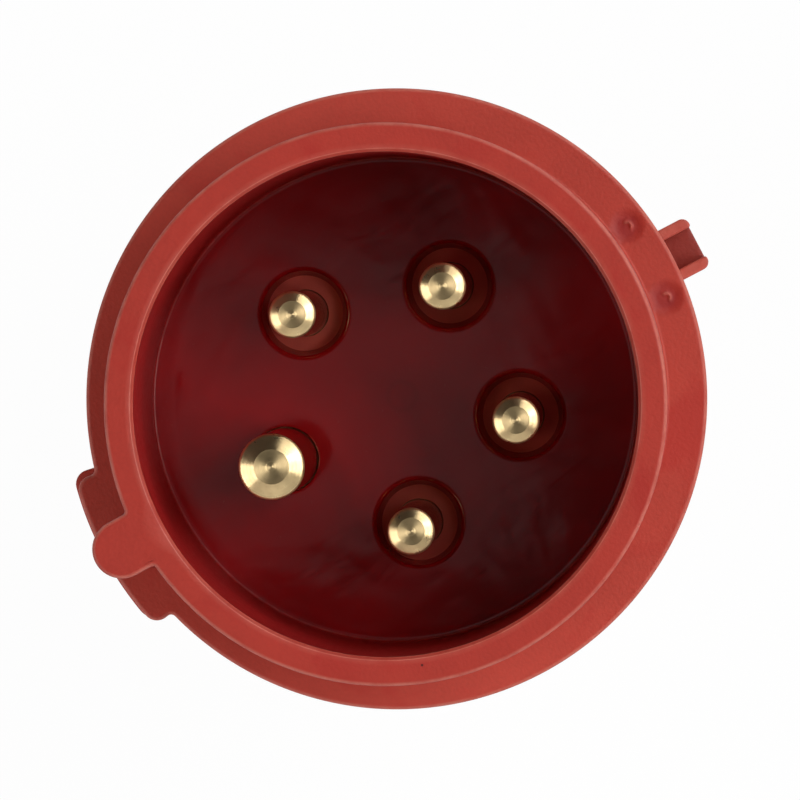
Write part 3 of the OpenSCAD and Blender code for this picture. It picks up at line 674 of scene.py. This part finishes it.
class PLUG_OT_shroud(bpy.types.Operator):
    """Moulded front: shroud with its key, floor with its recesses, flange with its locking block"""
    bl_idname = "plug.shroud"
    bl_label = "Shroud"

    def execute(self, context):
        s, c = context.scene.plug_shroud, context.scene.plug_finish
        o = Outlines(s, BLOCK_RADIUS, s.block_corner, s.block_root, s.block_half, FLANGE_RADIUS)
        floor, face = MOUTH - s.depth, MOUTH - s.flange_drop
        shell = Shell()
        inside = self.inner_wall(shell, o, s, floor)
        outside = self.outer_wall(shell, o, s, inside[-1], face, floor - s.floor)
        self.floor(shell, s, floor, inside[0], outside[-1])
        dull = [((x, y, face), s.dent) for x, y in self.dent_places(s)]
        speck = [((SPECK[0], SPECK[1], MOUTH), SPECK[2])]
        return settle(shell.object("shroud"), "contact_carrier", "plug", "front_red",
                      textured_red("Textured red", c.red, c.worn_and_sheen, specks=speck),
                      polished_red("Polished red", c.red_inside, (0.0, 0.0008, floor)),
                      satin_plastic("Satin red", c.red_wall, 0.40),
                      # The flange's face takes the paler red: painted light on the flange
                      textured_red("Flange red", c.lit_red, c.worn_and_sheen, dull))

    def inner_wall(self, shell, o, s, floor):
        """Circles from the floor's edge up a quarter-turn fillet and the bore to just below the mouth."""
        inner = s.bore - s.fillet
        profile = [(inner - 3 * HOLD, floor), (inner, floor)]
        profile += [(inner + run, floor + rise) for run, rise in quarter(s.fillet, 8)[1:]]
        profile += [(s.bore, z) for z in np.linspace(floor + s.fillet, MOUTH - s.chamfer - 2 * HOLD, 9)[1:]]
        rings = [lift(o.ring(radius), z) for radius, z in profile]
        shell.loft(rings[:2], POLISHED)
        shell.loft(rings[1:], SATIN)
        return rings

    def outer_wall(self, shell, o, s, first, face, under):
        """Rings over the chamfered mouth and the rounded rim, down the keyed shroud to a hollow at its
        foot, out over the flange's face and round its edge, in to the spigot, down it past the seal's
        groove, and up inside it to the floor's back. Between two different outlines the rings lie
        evenly on the straight lines that join them."""
        rings, finish, wear = [], [], []

        def put(added, tag=TEXTURED, worn_and_sheen=0.0):
            rings.extend(added)
            finish.extend([tag] * len(added))
            wear.extend(np.broadcast_to(worn_and_sheen, np.shape(added)[:2]))

        e, c, k, back, tail = s.edge, s.chamfer, HOLD, face - s.flange, CARRIER[0][2]
        put([first])
        # The chamfer's two rounded lines are painted pale as highlight
        for run, drop, worn_and_sheen in ((0.0, c + k, 0.0), (0.2 * k, c + 0.3 * k, 1.0), (0.7 * k, c - 0.3 * k, 0.2),
                                (c - 0.3 * k, 0.7 * k, 0.2), (c + 0.3 * k, 0.2 * k, 1.0), (c + k, 0.0, 0.2)):
            put([lift(o.ring(s.bore + run), MOUTH - drop)], worn_and_sheen=worn_and_sheen)
        rim = lift(o.keyed(-e - 1.2 * k), MOUTH)
        put(between(rings[-1], rim, 3) + [rim])
        for (run, drop), worn_and_sheen in zip(quarter(e, 5), EDGE_WEAR_AND_SHEEN):
            put([lift(o.keyed(run - e), MOUTH - drop)], worn_and_sheen=worn_and_sheen)
        for z in np.linspace(MOUTH - e - 5 * k, face + s.fillet, 12):
            put([lift(o.keyed(0.0), z)])

        for drop, run in quarter(s.fillet, 4)[1:]:
            put([lift(o.keyed(run), face + s.fillet - drop)], FLANGE)
        start, end = lift(o.keyed(s.fillet + k / 2), face), lift(o.blocked(-e - 1.2 * k), face)
        flat = np.array([start] + between(start, end, 34) + [end])
        height, ridge = self.dents(flat, s)
        flat[..., 2] += height
        # The ridge's height also paints it pale: a painted highlight on each dent's crescent
        put(list(flat), FLANGE, ridge)
        for (run, drop), worn_and_sheen in zip(quarter(e, 5), EDGE_WEAR_AND_SHEEN):
            put([lift(o.blocked(run - e), face - drop)], FLANGE, worn_and_sheen)
        for off, z in ((0.0, face - s.flange / 2), (0.0, back + k), (-k, back)):
            put([lift(o.blocked(off), z)], FLANGE)

        spigot, groove = s.bore + s.spigot, s.bore + s.groove
        root = lift(o.ring(spigot), back)
        put(between(rings[-1], root, 2) + [root], FLANGE)
        for radius, z in ((spigot, back - s.groove_start), (groove, back - s.groove_start),
                          (groove, back - s.groove_end), (spigot, back - s.groove_end), (spigot, tail),
                          (spigot - s.spigot_wall, tail), (spigot - s.spigot_wall, under)):
            put([lift(o.ring(radius), z)])
        shell.loft(rings, finish[1:], wear)
        return rings

    def floor(self, shell, s, floor, edge, back_edge):
        """Flat faces above and below the floor. A recess is a circle carried down a quarter-turn lip and
        a straight taper, the earth contact's hole is the same with straight sides, and the boss for the
        retainer's screw stands behind."""
        under = floor - s.floor
        tops, lows, walls = [], [], []
        for name in POLES:
            x, y = pole(name)
            if name == "earth":
                lip, high, low = s.lip * 3 / 7, s.earth_hole, s.earth_hole
            else:
                lip, high, low = s.lip, s.recess - s.lip, s.recess_low
            profile = [(high + lip + 2 * HOLD, floor)]
            profile += [(high + lip - run, floor - drop) for run, drop in quarter(lip, 5)]
            profile += [(low, under)]
            walls.append([spot(x, y, r, z) for r, z in profile])
            tops.append(((x, y), profile[0][0], walls[-1][0]))
            lows.append(((x, y), profile[-1][0], walls[-1][-1]))
        shell.plate(edge, tops, floor, True, POLISHED)
        for rings in walls:
            shell.loft(rings[::-1], POLISHED)
        boss = [spot(0, 0, radius, under - drop) for radius, drop in (
            (s.boss, 0.0), (s.boss, s.boss_length), (s.boss_hole, s.boss_length),
            (s.boss_hole, s.boss_hole_end), (0.0, s.boss_hole_end))]
        shell.plate(back_edge, lows + [((0.0, 0.0), s.boss, boss[0])], under, False, TEXTURED)
        shell.loft(boss)

    def dent_places(self, s):
        reach = FLANGE_RADIUS - s.dent_inset
        return [(side * reach * math.sin(s.dent_angle), reach * math.cos(s.dent_angle)) for side in (-1, 1)]

    def dents(self, grid, s):
        """Height over the flange's face: two round dishes with soft sides, and in each a low ridge
        whose height falls off as a bell curve from three quarters of a circle."""
        soft, open_side = s.dent * 2 / 3, 1.9
        crescent, breadth = s.dent / 4, s.dent / 12
        height, ridges = np.zeros(grid.shape[:2]), np.zeros(grid.shape[:2])
        for x, y in self.dent_places(s):
            across, out = grid[..., 0] - x, grid[..., 1] - y
            away, way = np.hypot(across, out), np.arctan2(out, across)
            height -= s.dent_depth * smooth((s.dent + soft / 4 - away) / soft)
            ridge = np.exp(-((away - crescent) / breadth) ** 2)
            ridge *= smooth(0.4 + np.cos(way - open_side))
            height += s.dent_nub * ridge
            ridges += ridge
        return height, ridges


class PLUG_OT_housing(bpy.types.Operator):
    """Rear housing: collar with the rear block and the catch, taper, shoulder and threaded neck"""
    bl_idname = "plug.housing"
    bl_label = "Rear housing"

    def execute(self, context):
        h, s, c = context.scene.plug_housing, context.scene.plug_shroud, context.scene.plug_finish
        o = Outlines(s, h.block, s.block_corner, s.block_root, s.block_half, h.collar, 120, 24)
        turn = np.array([[math.cos(h.skew), math.sin(h.skew)], [-math.sin(h.skew), math.cos(h.skew)]])
        front = MOUTH - s.flange_drop - s.flange
        shell = Shell()
        shell.loft(self.body(h, o, turn, front), closed=True)
        self.catch(shell, h, front, turn)
        return settle(shell.object("rear_housing_shell"), "rear_housing", "plug", "rear_red",
                      # The rear housing takes the paler red: painted light
                      textured_red("Rear red", c.lit_red, c.worn_and_sheen),
                      # The web's red is the rear red darkened to 0.6: painted shade between the ribs
                      textured_red("Web red", shade(c.lit_red, 0.6), c.worn_and_sheen))

    def body(self, h, o, turn, front):
        """Closed run of rings: up the neck, over the shoulder, up the taper, round the rear block and the
        collar's front, and down inside. The thread's groove is a helix, whose depth at a point depends
        on its height over the pitch plus its angle over a full turn. The taper is a straight cone, less
        the recess for the screw's head."""
        shoulder = NECK_END + h.neck_length
        taper_top, block_low = shoulder + h.taper, front - h.block_length
        phi, rings = o.angles(), []

        def ring(radius, z):
            rings.append(lift(o.ring(radius) @ turn, z))

        def block(off, rim, z):
            rings.append(lift(o.blocked(off, rim) @ turn, z))

        def taper(z):
            return np.interp(z, (shoulder, taper_top), (h.shoulder, h.collar))

        for radius, z in ((h.neck_bore, NECK_END + h.edge), (h.neck_bore + h.edge, NECK_END),
                          (h.neck - h.thread_depth - h.edge, NECK_END)):
            ring(radius, z)
        start, end = NECK_END + h.edge + HOLD, shoulder - h.thread_pitch
        for z in np.linspace(start, end, 96):
            turns = z / h.thread_pitch + (phi + h.skew) / (2 * math.pi)
            crest = smooth(np.abs((turns % 1.0) - 0.5) * 3.2 - 0.3)
            lead, run_out = smooth((z - start) / h.thread_fade), smooth((end - z) / h.thread_fade)
            ring(h.neck - h.thread_depth * (1 - crest * lead) * run_out, z)
        ring(h.neck, shoulder - h.edge)
        for run, rise in quarter(h.edge, 3)[1:]:
            ring(h.neck + rise, shoulder - h.edge + run)
        ring(h.shoulder - h.shoulder_edge, shoulder)
        for run, rise in quarter(h.shoulder_edge, 5)[1:]:
            ring(h.shoulder - h.shoulder_edge + run, shoulder + rise)
        near_key, scooped = np.abs(phi) < 0.3, block_low - h.scoop_length
        for z in np.concatenate([np.linspace(shoulder + 1.5 * h.shoulder_edge, scooped - 2 * HOLD, 10),
                                 np.linspace(scooped, block_low, 26)]):
            radius = np.full(len(phi), taper(z))
            ring(np.where(near_key, np.minimum(radius, self.scoop(phi + h.skew, h, radius)), radius), z)

        block(-h.edge, taper(block_low), block_low)
        rings[-1:-1] = between(rings[-2], rings[-1], 2)
        for run, rise in quarter(h.edge, 3)[1:]:
            block(run - h.edge, taper(block_low + rise), block_low + rise)
        for z in np.linspace(block_low + h.edge + HOLD, front - 2 * HOLD, 12):
            block(0.0, taper(z), z)
        for run, rise in quarter(2 * HOLD, 3)[1:]:
            block(-rise, taper(front), front - 2 * HOLD + run)
        ring(h.collar_bore + h.edge, front)
        rings[-1:-1] = between(rings[-2], rings[-1], 2)
        for radius, z in ((h.collar_bore, front - h.edge), (h.collar_bore, taper_top),
                          (h.shoulder - h.wall, shoulder + h.stop_half), (h.stop, shoulder + h.stop_half),
                          (h.stop, shoulder - h.stop_half), (h.neck_bore, shoulder - h.stop_half)):
            ring(radius, z)
        return rings

    def scoop(self, phi, h, radius):
        """Radius at which the taper meets the round recess for the screw's head, or its own radius."""
        across = h.screw_place * np.sin(phi)
        inside = h.screw_head ** 2 - across ** 2
        near = h.screw_place * np.cos(phi) - np.sqrt(np.clip(inside, 0.0, None))
        return np.where(inside > 0, near, radius)

    def catch(self, shell, h, front, turn):
        """Two ribs whose outer corners are rounded, their ends painted pale, and a web between their middles
        whose darker red is painted shade.
        """
        half, middle = h.catch_width / 2, (h.catch_width - h.catch_rib) / 2
        along_ribs, web_top = (front - h.catch_length, front), front - h.web_drop
        for sides, corners, heights, reach, finish, worn_and_sheen in (
                ((-half, h.catch_rib - half), (h.catch_corner, h.edge), along_ribs, h.catch_reach, 0, 0.6),
                ((half - h.catch_rib, half), (h.edge, h.catch_corner), along_ribs, h.catch_reach, 0, 0.6),
                ((-middle, middle), (h.edge, h.edge), (web_top - h.web, web_top),
                 h.catch_reach - h.web_inset, 1, 0.0)):
            ends = quarter(h.catch_edge, 4)
            levels = [(run - h.catch_edge, heights[1] - drop) for run, drop in ends]
            levels += [(run - h.catch_edge, heights[0] + rise) for run, rise in ends[::-1]]
            grid = [lift(self.bar(sides, corners, h.collar - h.catch_root, reach, off) @ turn, z)
                    for off, z in levels]
            caps = [np.broadcast_to(ring.mean(axis=0), ring.shape) for ring in (grid[0], grid[-1])]
            wear = np.zeros(len(grid) + 2)
            # The ribs' top ends take a 0.6 share of the pale colour: painted highlight with wear
            wear[:7] = worn_and_sheen
            shell.loft([caps[0], *grid, caps[1]], finish, wear)

    def bar(self, sides, corners, root, reach, off):
        """Outline of a bar in plan, moved outwards by off: two sides that start inside the collar, and
        at each outer corner a quarter turn of that corner's radius."""
        (left, right), (left_r, right_r) = sides, (corner + off for corner in corners)
        t = np.linspace(0, math.pi / 2, 8)
        arc = np.stack([np.cos(t), np.sin(t)], 1)
        return np.concatenate([
            [(right + off, root)],
            (right + off - right_r, reach + off - right_r) + right_r * arc,
            (left - off + left_r, reach + off - left_r) + left_r * arc[::-1] * (-1.0, 1.0),
            [(left - off, root)]])


class PLUG_OT_gland_nut(bpy.types.Operator):
    """Gland nut with grip flutes, bevelled ends and the cable entry in its end wall"""
    bl_idname = "plug.gland_nut"
    bl_label = "Gland nut"

    def execute(self, context):
        n, c = context.scene.plug_nut, context.scene.plug_finish
        shell = Shell()
        shell.loft(self.body(n, NUT[1][0], NUT[1][2] - NUT[0][2]), closed=True)
        return settle(shell.object("gland_nut_shell"), "gland_nut", "nut", "rear_red",
                      textured_red("Nut red", c.lit_red, c.worn_and_sheen))

    def body(self, n, radius, height):
        """Closed run of rings: over the end wall, round a quarter-turn bevel, up the outside, and down
        the bore. A flute is an arc about a centre outside the nut, which fades in and out along it."""
        count = n.flutes * 24
        theta = np.arange(count) * (2 * math.pi / count)
        way = np.stack([np.sin(theta), -np.cos(theta)], 1)
        part = (theta / (2 * math.pi) * n.flutes + 0.5) % 1.0 - 0.5
        across = radius * np.sin(part * 2 * math.pi / n.flutes)
        centre = radius + n.flute - n.flute_depth
        near = centre - np.sqrt(np.clip(n.flute ** 2 - across ** 2, 0.0, None))
        cut = np.clip(radius - np.where(np.abs(across) < n.flute, near, radius), 0.0, None)

        bevel = [(radius - n.bevel + run, rise) for run, rise in quarter(n.bevel, 4)]
        levels = np.linspace(n.bevel + 2 * HOLD, height - n.bevel - 2 * HOLD, 46)
        profile = [(n.entry, n.edge), (n.entry + n.edge, 0.0), (radius - n.bevel - 2 * HOLD, 0.0)] + bevel
        profile += [(radius - cut * smooth((min(z, height - z) - n.margin) / n.fade + 3 / 7), z)
                    for z in levels]
        profile += [(r, height - z) for r, z in bevel[::-1]]
        profile += [(n.bore + n.edge, height), (n.bore, height - n.edge), (n.bore, n.end),
                    (n.entry + n.edge - HOLD, n.end), (n.entry, n.end - n.edge + HOLD)]
        return [lift(way * np.reshape(r, (-1, 1)), z) for r, z in profile]


class PLUG_OT_contacts(bpy.types.Operator):
    """Finish of the five turned contacts and the locking insert"""
    bl_idname = "plug.contacts"
    bl_label = "Contacts"

    def execute(self, context):
        sizes, rgb = context.scene.plug_contacts, context.scene.plug_finish.brass
        rings = sizes.fine, sizes.coarse
        for name in POLES:
            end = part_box("pin_" + name)[1][2]
            crown = end - (sizes.earth_crown if name == "earth" else sizes.crown)
            dress("pin_" + name, turned_brass("Brass " + name, rgb, rings, (*pole(name), 0.0), crown, end))
        low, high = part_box("locking_insert")
        centre = (0.0, (low[1] + high[1]) / 2, 0.0)
        dress("locking_insert", turned_brass("Brass insert", rgb, rings, centre, high[2], high[2]))
        return {"FINISHED"}


class PLUG_OT_inner_parts(bpy.types.Operator):
    """Finishes of the screws, seals, washer, clamping ring, retainer and terminal block"""
    bl_idname = "plug.inner_parts"
    bl_label = "Inner parts"

    def execute(self, context):
        c = context.scene.plug_finish
        steel = plated_steel("Plated steel", c.steel)
        rubber = soft_rubber("Rubber", c.rubber)
        for name in POLES:
            dress("terminal_screw_" + name, steel)
        for name in ("retainer_screw", "locking_screw", "gland_washer"):
            dress(name, steel)
        for name in ("housing_seal", "gland_seal"):
            dress(name, rubber)
        dress("gland_clamp", satin_plastic("Dark plastic", c.dark))
        dress("contact_retainer", satin_plastic("Pale plastic", c.pale))
        # The block's lightened red is painted light at the recess floors
        dress("terminal_block", satin_plastic("Block red", c.red_block_lit))
        return {"FINISHED"}


class PLUG_OT_stage(bpy.types.Operator):
    """Pale floor, soft lights, surroundings and camera"""
    bl_idname = "plug.stage"
    bl_label = "Stage"

    def execute(self, context):
        p, scene = context.scene.plug_stage, context.scene
        scene.view_settings.view_transform = "Standard"
        mesh = bpy.data.meshes.new("floor")
        mesh.from_pydata([(x * p.size, y * p.size, 0) for x, y in ((-1, -1), (1, -1), (1, 1), (-1, 1))], [],
                         [(0, 1, 2, 3)])
        floor = bpy.data.objects.new("floor", mesh)
        floor.location.z = LOWEST[2] - p.gap
        scene.collection.objects.link(floor)
        material = bpy.data.materials.new("Floor")
        material.use_nodes = True
        tree = material.node_tree
        shader = tree.nodes["Principled BSDF"]
        shader.inputs["Base Color"].default_value = (*p.floor, 1.0)
        shader.inputs["Roughness"].default_value = 0.9
        shader.inputs["Specular IOR Level"].default_value = 0.0
        glow = tree.nodes.new("ShaderNodeEmission")
        glow.inputs["Strength"].default_value = 1.0
        glow.inputs["Color"].default_value = (1, 1, 1, 1)
        self.mix(tree, self.seen(tree, p.seen), shader.outputs["BSDF"], glow.outputs["Emission"],
                 tree.nodes["Material Output"])
        mesh.materials.append(material)
        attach(floor, "washer")

        world = bpy.data.worlds.new("Surroundings")
        world.use_nodes = True
        tree = world.node_tree
        dim, bright = tree.nodes["Background"], tree.nodes.new("ShaderNodeBackground")
        for background, strength in ((dim, p.world), (bright, 1.0)):
            background.inputs["Strength"].default_value = strength
            background.inputs["Color"].default_value = (1, 1, 1, 1)
        camera_ray = tree.nodes.new("ShaderNodeLightPath").outputs["Is Camera Ray"]
        self.mix(tree, camera_ray, dim.outputs["Background"], bright.outputs["Background"],
                 tree.nodes["World Output"])
        scene.world = world

        lamps = {name: self.light(name, *row, getattr(p, name)) for name, row in LIGHTS.items()}
        lamps["card"].rotation_euler = (0.0, 0.0, p.card_turn)

        camera = bpy.data.cameras.new("camera")
        camera.sensor_width, camera.lens = 36.0, p.lens
        camera.clip_start, camera.clip_end = 0.05, 20.0
        holder = bpy.data.objects.new("camera", camera)
        holder.location, holder.rotation_euler = p.place, p.turn
        scene.collection.objects.link(holder)
        scene.camera = holder
        return {"FINISHED"}

    def mix(self, tree, share, first, second, output):
        """Sends the first shader to the output, and the second for its share."""
        made = tree.nodes.new("ShaderNodeMixShader")
        for source, target in ((share, made.inputs["Fac"]), (first, made.inputs[1]),
                               (second, made.inputs[2]), (made.outputs["Shader"], output.inputs["Surface"])):
            tree.links.new(source, target)

    def seen(self, tree, share):
        """Share for rays that come straight from the camera or by way of gloss or glass, else 0."""
        path = tree.nodes.new("ShaderNodeLightPath")
        value = path.outputs["Is Camera Ray"]
        for name in ("Is Glossy Ray", "Is Transmission Ray"):
            most = tree.nodes.new("ShaderNodeMath")
            most.operation = "MAXIMUM"
            tree.links.new(value, most.inputs[0])
            tree.links.new(path.outputs[name], most.inputs[1])
            value = most.outputs[0]
        scale = tree.nodes.new("ShaderNodeMath")
        scale.operation = "MULTIPLY"
        scale.inputs[1].default_value = share
        tree.links.new(value, scale.inputs[0])
        return scale.outputs[0]

    def light(self, name, azimuth, lean, distance, wide, high, power):
        """Soft light that faces the mouth, at an azimuth from +X and leaning away from the axis."""
        lamp = bpy.data.lights.new(name, "AREA")
        lamp.shape, lamp.size, lamp.size_y, lamp.energy = "RECTANGLE", wide, high, power
        holder = bpy.data.objects.new(name, lamp)
        a, t = math.radians(azimuth), math.radians(lean)
        away = Vector((math.sin(t) * math.cos(a), math.sin(t) * math.sin(a), math.cos(t)))
        holder.location = Vector((0, 0, MOUTH)) + away * distance
        holder.rotation_euler = (-away).to_track_quat("-Z", "Y").to_euler()
        bpy.context.scene.collection.objects.link(holder)
        return holder


class PLUG_PT_panel(bpy.types.Panel):
    """Sizes, colours and pieces of the plug"""
    bl_idname = "PLUG_PT_panel"
    bl_label = "Pin and Sleeve Plug"
    bl_space_type = "VIEW_3D"
    bl_region_type = "UI"
    bl_category = "Plug"

    def draw(self, context):
        for group in GROUPS:
            settings = getattr(context.scene, group)
            column = self.layout.column(align=True)
            for key in settings.__annotations__:
                column.prop(settings, key)
        for operator in STEPS:
            self.layout.operator(operator.bl_idname)


STEPS = (PLUG_OT_stage, PLUG_OT_shroud, PLUG_OT_housing, PLUG_OT_gland_nut, PLUG_OT_contacts,
         PLUG_OT_inner_parts)
GROUPS = {"plug_shroud": PlugShroudSizes, "plug_housing": PlugHousingSizes, "plug_nut": PlugNutSizes,
          "plug_contacts": PlugContactSizes, "plug_finish": PlugFinishes, "plug_stage": PlugStage}


def register():
    for kind in (*GROUPS.values(), *STEPS, PLUG_PT_panel):
        bpy.utils.register_class(kind)
    for name, kind in GROUPS.items():
        setattr(bpy.types.Scene, name, PointerProperty(type=kind))


def unregister():
    for name in GROUPS:
        delattr(bpy.types.Scene, name)
    for kind in (PLUG_PT_panel, *STEPS[::-1], *GROUPS.values()):
        bpy.utils.unregister_class(kind)


def main():
    register()
    bpy.ops.plug.stage()
    bpy.ops.plug.shroud()
    bpy.ops.plug.housing()
    bpy.ops.plug.gland_nut()
    bpy.ops.plug.contacts()
    bpy.ops.plug.inner_parts()
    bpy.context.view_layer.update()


if __name__ == "__main__":
    main()
